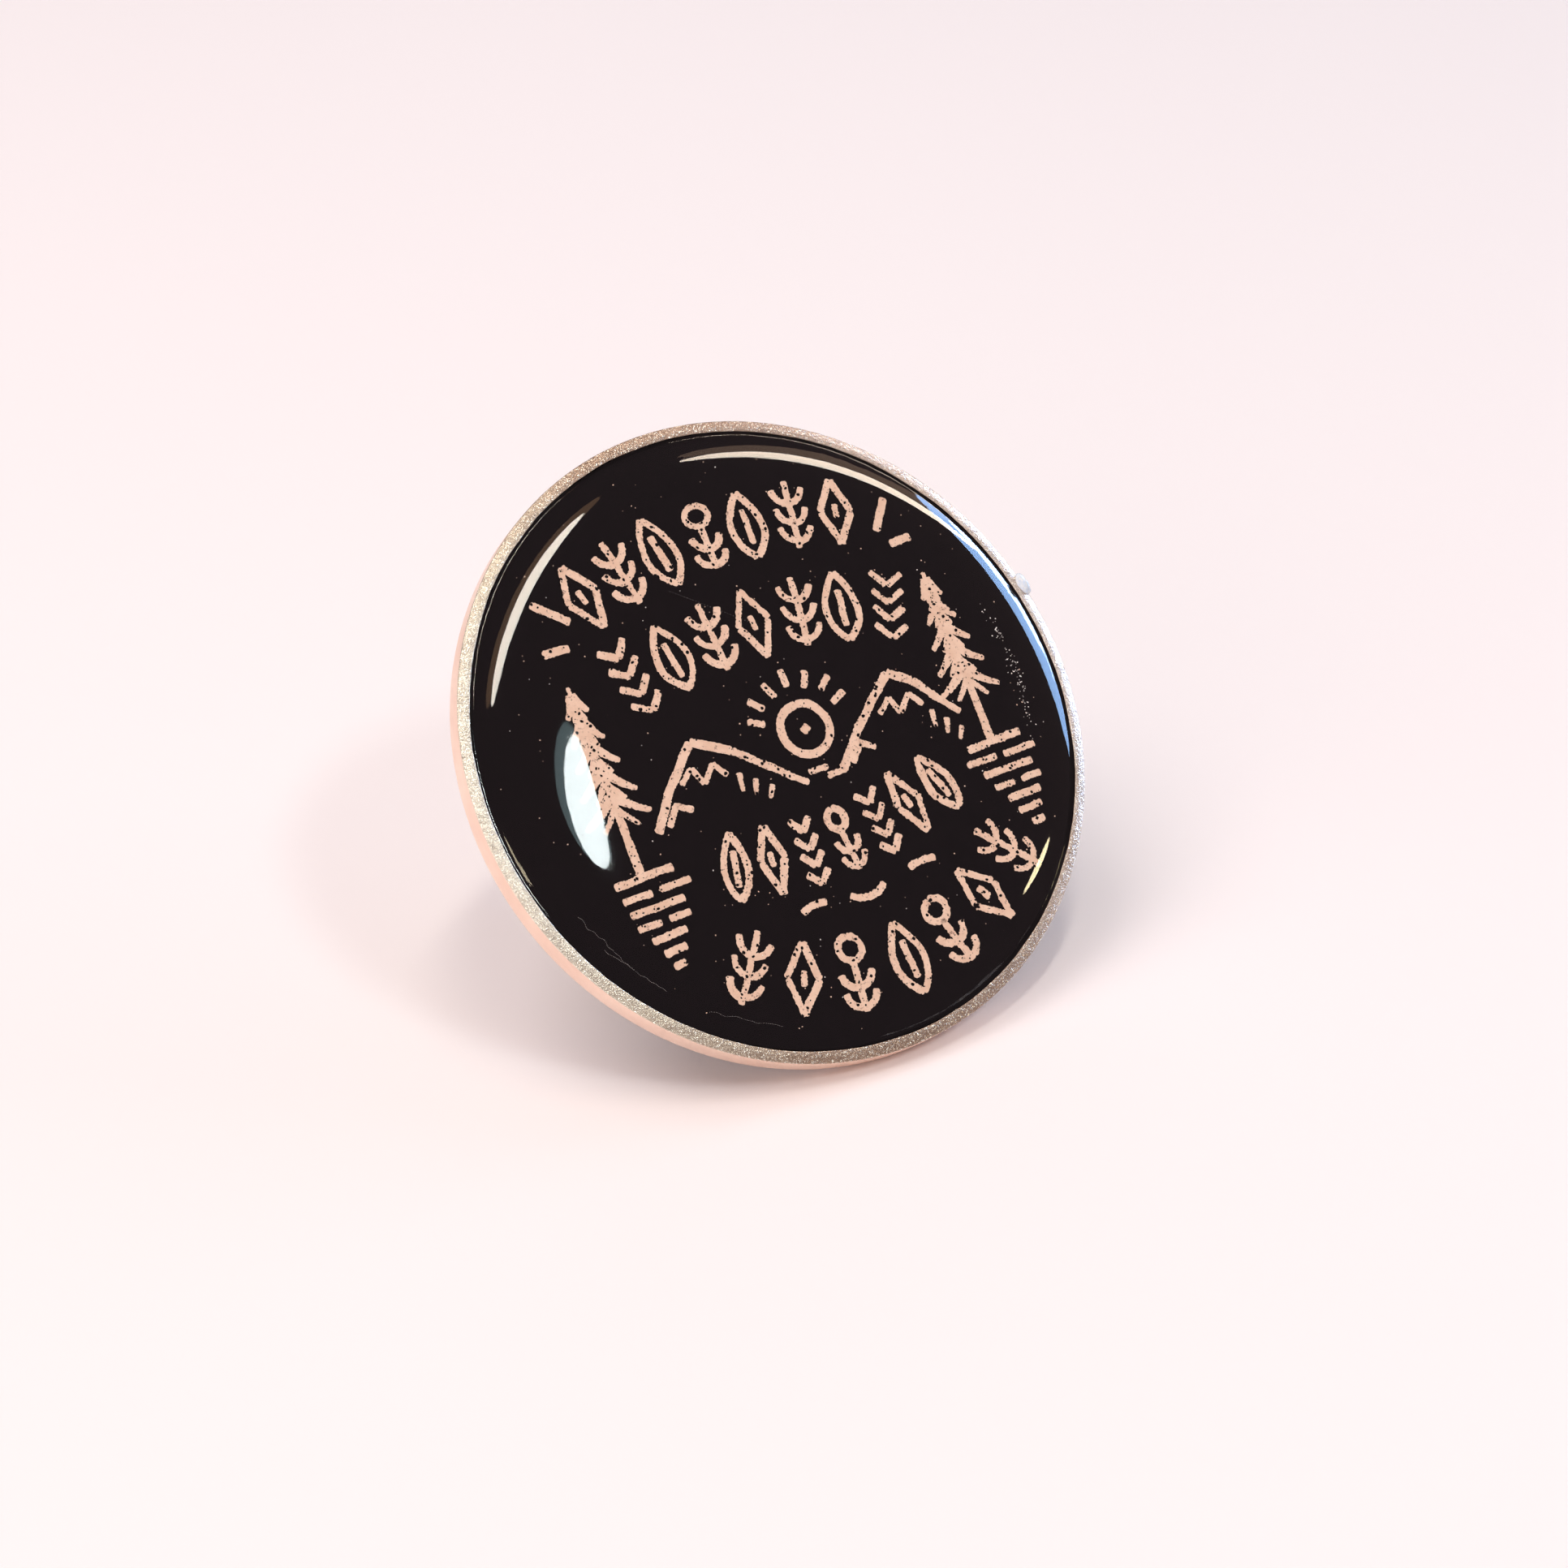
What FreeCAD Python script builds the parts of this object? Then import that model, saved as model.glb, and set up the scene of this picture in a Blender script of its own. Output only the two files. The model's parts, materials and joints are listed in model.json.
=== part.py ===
"""Round domed badge with a post and a butterfly clutch on its back.

The badge leans back on the lower edge of its rim and on the two wing tips of its clutch.
Every piece is drawn in the badge's own frame first: Z along the post and out of the face,
Y up the face, X across it, and zero at the middle of the tray's back. Depths behind the
tray are given as positive numbers. The finished pieces are then leaned back together and
set down on Z = 0, with +Z up.
"""
import FreeCAD, Part
import math
import os

# Driving dimensions, in millimetres and degrees.

# Tray: the plated metal dish that everything is mounted on.
BADGE_R = 12.5
TRAY_HEIGHT = 1.4
TRAY_FLOOR = 0.8
RIM_WIDTH = 0.45
BACK_EDGE_ROUND = 0.45
RIM_EDGE_ROUND = 0.07
PAD_RECESS_R = 3.1
PAD_RECESS_DEPTH = 0.1

# Layers in the tray: adhesive, printed insert, clear resin.
ADHESIVE_T = 0.1
INSERT_T = 0.25
LAYER_GAP = 0.03
INSERT_SIDE_GAP = 0.12
DOME_SIDE_GAP = 0.02
DOME_SHOULDER = 0.04
DOME_RISE = 1.0
DOME_POWER = 6

# Post: a headed pin, soldered to the tray by its flat head.
POST_R = 0.6
POST_REACH = 9.9
PAD_R = 2.6
PAD_T = 0.35
PAD_EDGE_ROUND = 0.08
GROOVE_R = 0.4
GROOVE_FLANK = 0.15
GROOVE_START = 4.35
GROOVE_END = 5.7
POINT_LENGTH = 1.1
POINT_R = 0.08
SOLDER_PROUD = 0.18

# Clutch: base plate with a rolled lip, cap with a hollow nipple, spring and two wings.
FABRIC_GAP = 4.3
SHEET_T = 0.35
CLUTCH_R = 5.75
CLUTCH_EDGE_ROUND = 0.18
GUIDE_CLEARANCE = 0.06
FUNNEL_R = 1.05
FUNNEL_DEPTH = 0.2
LIP_HEIGHT = 0.95
LIP_T = 0.25
LIP_REACH = 0.55
CAP_T = 0.3
CAP_PLAY = 0.03
CAP_SHOULDER_R = 4.35
CAP_FOOT_R = 4.85
CAP_TOP = 6.3
NIPPLE_R = 1.75
NIPPLE_TAPER = 0.15
CLUTCH_REACH = 10.3

SLOT_INNER = 2.1
SLOT_OUTER = 3.1
SLOT_HALF_WIDTH = 2.3

SPRING_T = 0.2
SPRING_HALF_LENGTH = 3.4
SPRING_HALF_WIDTH = 2.8
SPRING_WINDOW_X = 2.75
SPRING_WINDOW_Y = 2.2
SPRING_LIP_TOP = 5.85

WING_T = 0.35
WING_BEND = 0.2
WING_HALF_WIDTH = 2.4
WING_CORNER = 0.8
WAIST_HALF_WIDTH = 2.0
WAIST_TOP = 6.9
WING_FULL_WIDTH_FROM = 8.6
JAW_DEPTH = 5.45
JAW_TIP_X = 0.32
JAW_HEEL_X = 2.3
JAW_CLEARANCE = 0.04
FULCRUM_X = 2.5
FULCRUM_DEPTH = 6.15
FULCRUM_R = 0.3
WING_KNEE = (2.75, 7.0)
WING_HIP = (4.05, 9.3)
WING_TIP_X = 4.95

V = FreeCAD.Vector


def corner_arc(before, corner, after, radius):
    """Start, middle and end of the arc that rounds a corner between two straight sides."""
    to_before = (before - corner).normalize()
    to_after = (after - corner).normalize()
    half = to_before.getAngle(to_after) / 2
    inward = (to_before + to_after).normalize()
    reach = radius / math.tan(half)
    middle = corner + inward * (radius / math.sin(half) - radius)
    return corner + to_before * reach, middle, corner + to_after * reach


def rounded_face(corners):
    """A face in the XZ plane. Each corner is (x, z) or (x, z, rounding radius)."""
    points = [V(c[0], 0, c[1]) for c in corners]
    radii = [c[2] if len(c) > 2 else 0 for c in corners]
    starts, ends, edges = [], [], []
    for i, (point, radius) in enumerate(zip(points, radii)):
        start, end = point, point
        if radius:
            start, middle, end = corner_arc(points[i - 1], point, points[(i + 1) % len(points)], radius)
            edges.append(Part.Arc(start, middle, end).toShape())
        starts.append(start)
        ends.append(end)
    for i, end in enumerate(ends):
        start = starts[(i + 1) % len(starts)]
        if end.distanceToPoint(start) > 1e-6:
            edges.append(Part.LineSegment(end, start).toShape())
    return Part.Face(Part.Wire(Part.__sortEdges__(edges)))


def turned(corners):
    """A solid of revolution about Z from corners given as (radius, z, rounding)."""
    return rounded_face(corners).revolve(V(0, 0, 0), V(0, 0, 1), 360)


def box(low, high):
    size = V(*high) - V(*low)
    return Part.makeBox(size.x, size.y, size.z, V(*low))


def mirrored(shape):
    """The same piece on the other side of the post, turned half round it."""
    copy = shape.copy()
    copy.rotate(V(0, 0, 0), V(0, 0, 1), 180)
    return copy


# Levels in the badge's frame that several pieces share.
ADHESIVE_TOP = TRAY_FLOOR + ADHESIVE_T
INSERT_TOP = ADHESIVE_TOP + INSERT_T
DOME_BOTTOM = INSERT_TOP + LAYER_GAP
WELL_R = BADGE_R - RIM_WIDTH
PAD_BACK = PAD_T - PAD_RECESS_DEPTH
PLATE_BACK = FABRIC_GAP + SHEET_T
CAP_FOOT = PLATE_BACK + CAP_PLAY
CAP_INSIDE_TOP = CAP_TOP - CAP_T
GUIDE_R = POST_R + GUIDE_CLEARANCE


def tray():
    """Dish with a raised rim, a rolled back edge and a shallow seat for the post's head."""
    return turned([
        (0, PAD_RECESS_DEPTH),
        (PAD_RECESS_R, PAD_RECESS_DEPTH),
        (PAD_RECESS_R, 0),
        (BADGE_R, 0, BACK_EDGE_ROUND),
        (BADGE_R, TRAY_HEIGHT, RIM_EDGE_ROUND),
        (WELL_R, TRAY_HEIGHT, RIM_EDGE_ROUND / 2),
        (WELL_R, TRAY_FLOOR),
        (0, TRAY_FLOOR),
    ])


def adhesive_disc():
    radius = WELL_R - 2 * INSERT_SIDE_GAP
    return Part.makeCylinder(radius, ADHESIVE_T, V(0, 0, TRAY_FLOOR))


def printed_insert():
    radius = WELL_R - INSERT_SIDE_GAP
    return Part.makeCylinder(radius, INSERT_T, V(0, 0, ADHESIVE_TOP))


def resin_dome():
    """Clear cap, nearly flat in the middle, that falls ever faster towards its edge."""
    radius = WELL_R - DOME_SIDE_GAP
    shoulder = TRAY_HEIGHT - DOME_SHOULDER
    steps = 12
    crown = []
    for i in range(steps + 1):
        r = radius * math.sin(math.pi / 2 * i / steps)
        crown.append(V(r, 0, shoulder + DOME_RISE * (1 - (r / radius) ** DOME_POWER)))
    curve = Part.BSplineCurve()
    curve.interpolate(crown)
    outline = [
        curve.toShape(),
        Part.LineSegment(crown[-1], V(radius, 0, DOME_BOTTOM)).toShape(),
        Part.LineSegment(V(radius, 0, DOME_BOTTOM), V(0, 0, DOME_BOTTOM)).toShape(),
        Part.LineSegment(V(0, 0, DOME_BOTTOM), crown[0]).toShape(),
    ]
    return Part.Face(Part.Wire(outline)).revolve(V(0, 0, 0), V(0, 0, 1), 360)


def post():
    """Flat round head, straight shank, gripping groove and a sharp point."""
    return turned([
        (0, PAD_RECESS_DEPTH),
        (PAD_R, PAD_RECESS_DEPTH),
        (PAD_R, -PAD_BACK, PAD_EDGE_ROUND),
        (POST_R, -PAD_BACK),
        (POST_R, -GROOVE_START),
        (GROOVE_R, -GROOVE_START - GROOVE_FLANK),
        (GROOVE_R, -GROOVE_END + GROOVE_FLANK),
        (POST_R, -GROOVE_END),
        (POST_R, POINT_LENGTH - POST_REACH),
        (POINT_R, -POST_REACH, POINT_R / 2),
        (0, -POST_REACH),
    ])


def solder_ring():
    """Fillet of solder that fills the seat around the post's head."""
    return turned([
        (PAD_R, PAD_RECESS_DEPTH),
        (PAD_RECESS_R, PAD_RECESS_DEPTH),
        (PAD_RECESS_R, 0),
        (PAD_R + 0.2, -SOLDER_PROUD * 0.6),
        (PAD_R, -SOLDER_PROUD),
    ])


def clutch_plate():
    """Flat disc with a funnelled guide hole. Its edge is rolled over the cap's flange."""
    lip_back = FABRIC_GAP + LIP_HEIGHT
    return turned([
        (GUIDE_R, -PLATE_BACK),
        (GUIDE_R, -FABRIC_GAP - FUNNEL_DEPTH),
        (FUNNEL_R, -FABRIC_GAP),
        (CLUTCH_R, -FABRIC_GAP, CLUTCH_EDGE_ROUND),
        (CLUTCH_R, -lip_back, CLUTCH_EDGE_ROUND),
        (CLUTCH_R - LIP_REACH, -lip_back, LIP_T / 3),
        (CLUTCH_R - LIP_REACH, LIP_T - lip_back, LIP_T / 3),
        (CLUTCH_R - SHEET_T, LIP_T - lip_back),
        (CLUTCH_R - SHEET_T, -PLATE_BACK),
    ])


def clutch_cap():
    """Domed cover with a hollow nipple over the post's point and a slot for each wing."""
    flange_r = CLUTCH_R - SHEET_T - CAP_PLAY
    flange_back = CAP_FOOT + CAP_T
    nipple_top_r = NIPPLE_R - NIPPLE_TAPER
    shell = turned([
        (flange_r, -CAP_FOOT),
        (flange_r, -flange_back),
        (CAP_FOOT_R, -flange_back, 0.1),
        (CAP_SHOULDER_R, -CAP_TOP, 0.5),
        (NIPPLE_R, -CAP_TOP, 0.3),
        (nipple_top_r, -CLUTCH_REACH, 0.6),
        (0, -CLUTCH_REACH),
        (0, CAP_T - CLUTCH_REACH),
        (nipple_top_r - CAP_T, CAP_T - CLUTCH_REACH, 0.3),
        (NIPPLE_R - CAP_T, -CAP_INSIDE_TOP, 0.3 + CAP_T),
        (CAP_SHOULDER_R - CAP_T, -CAP_INSIDE_TOP, 0.2),
        (CAP_FOOT_R - CAP_T, -CAP_FOOT),
    ])
    slot = box(
        (SLOT_INNER, -SLOT_HALF_WIDTH, -CAP_TOP - 1),
        (SLOT_OUTER, SLOT_HALF_WIDTH, -CAP_INSIDE_TOP + 0.3),
    )
    return shell.cut(slot).cut(mirrored(slot))


def clip_spring():
    """Flat spring frame round the jaws, with a lip at each end that bears on a wing's heel."""
    back = CAP_FOOT + SPRING_T
    frame = box(
        (-SPRING_HALF_LENGTH, -SPRING_HALF_WIDTH, -back),
        (SPRING_HALF_LENGTH, SPRING_HALF_WIDTH, -CAP_FOOT),
    )
    window = box(
        (-SPRING_WINDOW_X, -SPRING_WINDOW_Y, -back - 1),
        (SPRING_WINDOW_X, SPRING_WINDOW_Y, 0),
    )
    lip = box(
        (SPRING_HALF_LENGTH - SPRING_T, -WAIST_HALF_WIDTH, -SPRING_LIP_TOP),
        (SPRING_HALF_LENGTH, WAIST_HALF_WIDTH, -CAP_FOOT),
    )
    return frame.cut(window).fuse([lip, mirrored(lip)]).removeSplitter()


def offset_sides(centre, thickness):
    """The two sides of a bent strip, as corner lists, from the corners of its middle line."""
    points = [V(x, 0, z) for x, z in centre]
    ways = [(b - a).normalize() for a, b in zip(points, points[1:])]
    across = [V(-way.z, 0, way.x) for way in ways]
    left, right = [], []
    for point, before, after in zip(points, across[:1] + across, across + across[-1:]):
        mitre = (before + after).normalize()
        reach = thickness / 2 / mitre.dot(after)
        left.append(point + mitre * reach)
        right.append(point - mitre * reach)
    return left, right


def wing_right():
    """Bent sheet lever: jaw that bites the post, bead that rocks in the slot, finger tab."""
    centre = [
        (JAW_TIP_X, -JAW_DEPTH),
        (JAW_HEEL_X, -JAW_DEPTH),
        (WING_KNEE[0], -WING_KNEE[1]),
        (WING_HIP[0], -WING_HIP[1]),
        (WING_TIP_X, -CLUTCH_REACH - 0.1),
    ]
    left, right = offset_sides(centre, WING_T)
    last = len(centre) - 1
    bends = [0 if i in (0, last) else WING_BEND for i in range(len(centre))]
    side_a = [(p.x, p.z, r and r + WING_T * (i != 2)) for i, (p, r) in enumerate(zip(right, bends))]
    side_b = [(p.x, p.z, r and r + WING_T * (i == 2)) for i, (p, r) in enumerate(zip(left, bends))]
    strip = rounded_face(side_a + side_b[::-1])
    strip.translate(V(0, -WING_HALF_WIDTH, 0))
    strip = strip.extrude(V(0, 2 * WING_HALF_WIDTH, 0))
    half, waist = WING_HALF_WIDTH, WAIST_HALF_WIDTH
    outline = rounded_face([
        (-waist, -PLATE_BACK),
        (-waist, -WAIST_TOP, 0.5),
        (-half, -WING_FULL_WIDTH_FROM, 0.8),
        (-half, -CLUTCH_REACH, WING_CORNER),
        (half, -CLUTCH_REACH, WING_CORNER),
        (half, -WING_FULL_WIDTH_FROM, 0.8),
        (waist, -WAIST_TOP, 0.5),
        (waist, -PLATE_BACK),
    ])
    outline.rotate(V(0, 0, 0), V(0, 0, 1), 90)
    outline = outline.extrude(V(2 * WING_TIP_X, 0, 0))
    bite = Part.makeCylinder(POST_R + JAW_CLEARANCE, 2, V(0, 0, -JAW_DEPTH - 1))
    bead_end = V(FULCRUM_X, -WAIST_HALF_WIDTH, -FULCRUM_DEPTH)
    bead = Part.makeCylinder(FULCRUM_R, 2 * WAIST_HALF_WIDTH, bead_end, V(0, 1, 0))
    return strip.common(outline).cut(bite).fuse(bead)


def lean_angle():
    """The angle between the face's plane and the floor when rim and wing tips both touch it.

    The rim touches on its rounded back edge and each wing on its rounded corner, so the
    two heights below the badge's middle agree when a*sin(angle) - b*cos(angle) = c.
    """
    a = (BADGE_R - BACK_EDGE_ROUND) - (WING_HALF_WIDTH - WING_CORNER)
    b = BACK_EDGE_ROUND + (CLUTCH_REACH - WING_CORNER)
    c = WING_CORNER - BACK_EDGE_ROUND
    return math.degrees(math.atan2(b, a) + math.asin(c / math.hypot(a, b)))


def build():
    wing = wing_right()
    pieces = {
        "tray": tray(),
        "adhesive_disc": adhesive_disc(),
        "printed_insert": printed_insert(),
        "resin_dome": resin_dome(),
        "post": post(),
        "solder_ring": solder_ring(),
        "clutch_plate": clutch_plate(),
        "clutch_cap": clutch_cap(),
        "clip_spring": clip_spring(),
        "wing_right": wing,
        "wing_left": mirrored(wing),
    }
    angle = lean_angle()
    for shape in pieces.values():
        shape.rotate(V(0, 0, 0), V(1, 0, 0), angle)
    bounds = Part.makeCompound(list(pieces.values())).optimalBoundingBox(False, False)
    move = V(-bounds.Center.x, -bounds.Center.y, -bounds.ZMin)
    for shape in pieces.values():
        shape.translate(move)
    print("lean", round(angle, 4), "origin of the badge's frame", tuple(round(x, 4) for x in move))
    print("size", [round(x, 3) for x in (bounds.XLength, bounds.YLength, bounds.ZLength)])
    return pieces


os.makedirs("parts", exist_ok=True)
for node, shape in build().items():
    print(node, "valid", shape.isValid(), "solids", len(shape.Solids), "volume", round(shape.Volume, 3))
    shape.exportStep("parts/" + node + ".step")
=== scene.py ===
"""Looks of a round domed badge that leans back on its rim and on its butterfly clutch.

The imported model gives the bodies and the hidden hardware. This script replaces the tray, the
resin dome and the solder with finer, less perfect meshes. It adds the print's ink as thin pieces
between insert and dome, and a bead of resin and dust on top. It gives every piece its material,
and sets up floor, lights and camera.
"""

import json
import math
import random

import bmesh
import bpy
from mathutils import Matrix, Vector, noise


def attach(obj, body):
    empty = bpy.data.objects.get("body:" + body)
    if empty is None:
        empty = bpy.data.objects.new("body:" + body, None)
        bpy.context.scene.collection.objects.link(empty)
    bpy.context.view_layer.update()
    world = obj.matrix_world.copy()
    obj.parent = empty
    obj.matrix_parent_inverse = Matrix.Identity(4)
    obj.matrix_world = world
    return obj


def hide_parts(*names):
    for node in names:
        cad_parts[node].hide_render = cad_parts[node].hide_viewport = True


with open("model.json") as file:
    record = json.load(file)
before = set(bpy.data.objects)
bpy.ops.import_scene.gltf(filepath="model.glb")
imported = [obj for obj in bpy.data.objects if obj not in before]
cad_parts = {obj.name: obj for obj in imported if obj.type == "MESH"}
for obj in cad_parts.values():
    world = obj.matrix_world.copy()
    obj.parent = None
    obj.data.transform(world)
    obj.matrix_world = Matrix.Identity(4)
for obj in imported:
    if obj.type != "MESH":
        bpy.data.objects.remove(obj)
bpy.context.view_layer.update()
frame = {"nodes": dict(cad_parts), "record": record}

MM = 0.001

# The badge's own sizes, in millimetres from the middle of the tray's back.
BADGE_R = 12.5
WELL_R = 12.05
TRAY_HEIGHT = 1.4
TRAY_FLOOR = 0.8
BACK_EDGE_ROUND = 0.45
RIM_EDGE_ROUND = 0.06
RIM_CROWN = 0.065
PAD_R = 2.6
PAD_RECESS_R = 3.1
PAD_RECESS_DEPTH = 0.1
INSERT_TOP = 1.15
DOME_BOTTOM = 1.18
DOME_R = 12.03
DOME_SHOULDER = 1.38
DOME_RISE = 0.918
DOME_POWER = 6
# Near the rim the resin's convex top turns up again into a meniscus.
DOME_SPAN = 11.86
MENISCUS_R = 11.87
MENISCUS_SLOPE = 0.15
SOLDER_PROUD = 0.18

# Where a bead of resin has run over the rim, in radians round the face, and its half sizes
# across the rim, along it and upward.
BEAD_AT = 0.227
BEAD_HALF = (0.25, 0.42, 0.17)

# The print's layers between the insert and the dome.
INK_BASE = INSERT_TOP + 0.004
INK_TOP = INSERT_TOP + 0.012
FLECK_TOP = INSERT_TOP + 0.018
INK_WIDTH = 0.275
STROKE_STEP = 0.05


# The badge's frame: X across the face, Y up the face, Z out of the face.
mounts = {m["name"]: m for m in frame["record"]["mounts"]}
face_normal = -Vector(mounts["back_face"]["axis"]).normalized()
face_across = Vector((1, 0, 0))
face_up = face_normal.cross(face_across)
on_post_axis = Vector(mounts["post"]["pos_m"])
on_back = Vector(mounts["back_face"]["pos_m"])
badge_origin = on_post_axis + face_normal * (on_back - on_post_axis).dot(face_normal)
BADGE = Matrix((face_across, face_up, face_normal)).transposed().to_4x4()
BADGE.translation = badge_origin


def new_piece(name, verts, faces, body, materials, face_material=None, smooth=True):
    """A mesh piece from vertices in millimetres in the badge's frame, riding on a body."""
    mesh = bpy.data.meshes.new(name)
    mesh.from_pydata([BADGE @ (Vector(vert) * MM) for vert in verts], [], faces)
    for material in materials:
        mesh.materials.append(material)
    if face_material:
        mesh.polygons.foreach_set("material_index", face_material)
    mesh.polygons.foreach_set("use_smooth", [smooth] * len(mesh.polygons))
    turn_outward(mesh)
    piece = bpy.data.objects.new(name, mesh)
    bpy.context.scene.collection.objects.link(piece)
    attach(piece, body)
    return piece


def turn_outward(mesh):
    """Points every face of the closed shells in a mesh outward."""
    work = bmesh.new()
    work.from_mesh(mesh)
    bmesh.ops.recalc_face_normals(work, faces=work.faces)
    work.to_mesh(mesh)
    work.free()
    mesh.update()


# ---------------------------------------------------------------- materials

class Look:
    """A material's node tree, with short calls for the nodes that the materials here use."""

    def __init__(self, name):
        self.material = bpy.data.materials.new(name)
        self.material.use_nodes = True
        self.tree = self.material.node_tree
        self.tree.nodes.clear()
        self.output = self.tree.nodes.new("ShaderNodeOutputMaterial")
        self.coordinates = self.tree.nodes.new("ShaderNodeTexCoord").outputs["Object"]

    def add(self, kind, settings=None, **inputs):
        node = self.tree.nodes.new("ShaderNode" + kind)
        for key, value in (settings or {}).items():
            setattr(node, key, value)
        for key, value in inputs.items():
            self.plug(node.inputs[key.replace("_", " ")], value)
        return node

    def plug(self, socket, value):
        if isinstance(value, bpy.types.NodeSocket):
            self.tree.links.new(value, socket)
        elif isinstance(value, bpy.types.Node):
            self.tree.links.new(value.outputs[0], socket)
        else:
            socket.default_value = value

    def noise(self, size_mm, detail=3, roughness=0.5, stretch=None):
        """Noise whose features are about size_mm across, or longer along the badge's axes."""
        vector = self.coordinates
        if stretch:
            lean = BADGE.to_euler()
            how = {"vector_type": "TEXTURE"}
            vector = self.add("Mapping", how, Vector=vector, Rotation=lean, Scale=stretch)
        scale = 1 / (size_mm * MM)
        made = self.add("TexNoise", Vector=vector, Scale=scale, Detail=detail, Roughness=roughness)
        return made.outputs["Fac"]

    def sideways(self):
        """0 at the badge's left edge, 1 at its right edge."""
        across = self.add("SeparateXYZ", Vector=self.coordinates).outputs["X"]
        return self.math("ADD", self.math("MULTIPLY", across, 0.5 / (BADGE_R * MM)), 0.5)

    def ramp(self, factor, stops):
        """Values or colours at places from 0 to 1 along a factor."""
        node = self.add("ValToRGB", Fac=factor)
        while len(node.color_ramp.elements) < len(stops):
            node.color_ramp.elements.new(0.5)
        for element, (place, value) in zip(node.color_ramp.elements, stops):
            element.position = place
            element.color = value if isinstance(value, tuple) else (value, value, value, 1)
        return node.outputs["Color"]

    def blend(self, factor, a, b):
        """Colour a where the factor is 0, and b where it is 1."""
        node = self.tree.nodes.new("ShaderNodeMix")
        node.data_type = "RGBA"
        # On a mix of colours, inputs 6 and 7 and output 2 are the ones in use.
        self.plug(node.inputs[0], factor)
        self.plug(node.inputs[6], a)
        self.plug(node.inputs[7], b)
        return node.outputs[2]

    def math(self, operation, a, b=0.0):
        node = self.tree.nodes.new("ShaderNodeMath")
        node.operation = operation
        self.plug(node.inputs[0], a)
        self.plug(node.inputs[1], b)
        return node.outputs[0]

    def bump(self, height, depth_mm, strength=1.0, normal=None):
        node = self.add("Bump", Height=height, Distance=depth_mm * MM, Strength=strength)
        if normal:
            self.plug(node.inputs["Normal"], normal)
        return node.outputs["Normal"]

    def surface(self, **inputs):
        """Ends the material in one Principled shader."""
        shader = self.add("BsdfPrincipled", **inputs)
        self.tree.links.new(shader.outputs[0], self.output.inputs["Surface"])
        return self.material


def rgb(red, green, blue):
    """A colour given as 0 to 255 on screen, as the linear colour that shaders take."""
    def linear(c):
        c /= 255
        return c / 12.92 if c <= 0.04045 else ((c + 0.055) / 1.055) ** 2.4
    return (linear(red), linear(green), linear(blue), 1)


WHITE = (1, 1, 1, 1)


def warm_reflection_wall():
    """Plated wall in peach, the peach being a painted reflection of the warm floor and room light:
    soft sheen, faint waviness, handling scratches.
    """
    look = Look("warm_reflection_wall")
    scratches = look.noise(0.1, 2, 0.6, (12, 12, 1))
    cloud = look.noise(2.5, 3)
    patch = look.ramp(cloud, [(0.35, 0.0), (0.75, 1.0)])
    # painted reflection: both peach tones stand in for the warm light the plated wall reflects,
    # varied at random in patches
    colour = look.blend(patch, rgb(255, 228, 210), rgb(246, 214, 196))
    rough = look.ramp(look.blend(0.5, scratches, cloud), [(0.3, 0.30), (0.55, 0.38), (0.75, 0.46)])
    normal = look.bump(scratches, 0.004, 0.5, look.bump(look.noise(1.4, 2), 0.02, 0.35))
    return look.surface(Base_Color=colour, Metallic=0.55, Roughness=rough, Normal=normal)


def sanded_rim():
    """The rim's flat top: sand grain in champagne nickel, with painted highlights: lighter towards
    its left and right sides, and near-white specks of painted glint on the grain.
    """
    look = Look("sanded_rim")
    grain = look.noise(0.075, 3, 0.6)
    coarse = look.noise(0.4, 3)
    # painted highlights: the rim's colour is lighter towards both sides, where lamps reflect in it
    tone = look.ramp(look.sideways(), [
        (0.00, rgb(252, 248, 234)),
        (0.14, rgb(232, 222, 202)),
        (0.34, rgb(182, 156, 136)),
        (0.66, rgb(172, 148, 132)),
        (0.88, rgb(212, 192, 176)),
        (1.00, rgb(234, 222, 214)),
    ])
    patches = look.blend(look.ramp(coarse, [(0.38, 0.0), (0.68, 0.35)]), tone, rgb(140, 120, 106))
    # painted glints: near-white specks on the grain
    colour = look.blend(look.ramp(grain, [(0.54, 0.0), (0.62, 0.9)]), patches, rgb(255, 250, 236))
    colour = look.blend(look.ramp(grain, [(0.34, 0.6), (0.44, 0.0)]), colour, rgb(96, 80, 70))
    rough = look.ramp(grain, [(0.40, 0.34), (0.62, 0.14)])
    normal = look.bump(grain, 0.03, 1.0, look.bump(coarse, 0.03, 0.4))
    return look.surface(Base_Color=colour, Metallic=0.62, Roughness=rough, Normal=normal)


def satin_back():
    """The tray's back: tumbled nickel with a soft orange-peel and wiping marks."""
    look = Look("satin_back")
    peel = look.noise(0.45, 3)
    marks = look.noise(0.06, 3, 0.6, (9, 1, 1))
    cloud = look.noise(4.0, 3)
    patch = look.ramp(cloud, [(0.35, 0.0), (0.7, 1.0)])
    colour = look.blend(patch, rgb(205, 199, 192), rgb(184, 176, 168))
    rough = look.ramp(look.blend(0.5, marks, cloud), [(0.35, 0.22), (0.65, 0.40)])
    normal = look.bump(peel, 0.012, 0.6, look.bump(marks, 0.006, 0.4))
    return look.surface(Base_Color=colour, Metallic=1.0, Roughness=rough, Normal=normal)


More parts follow.
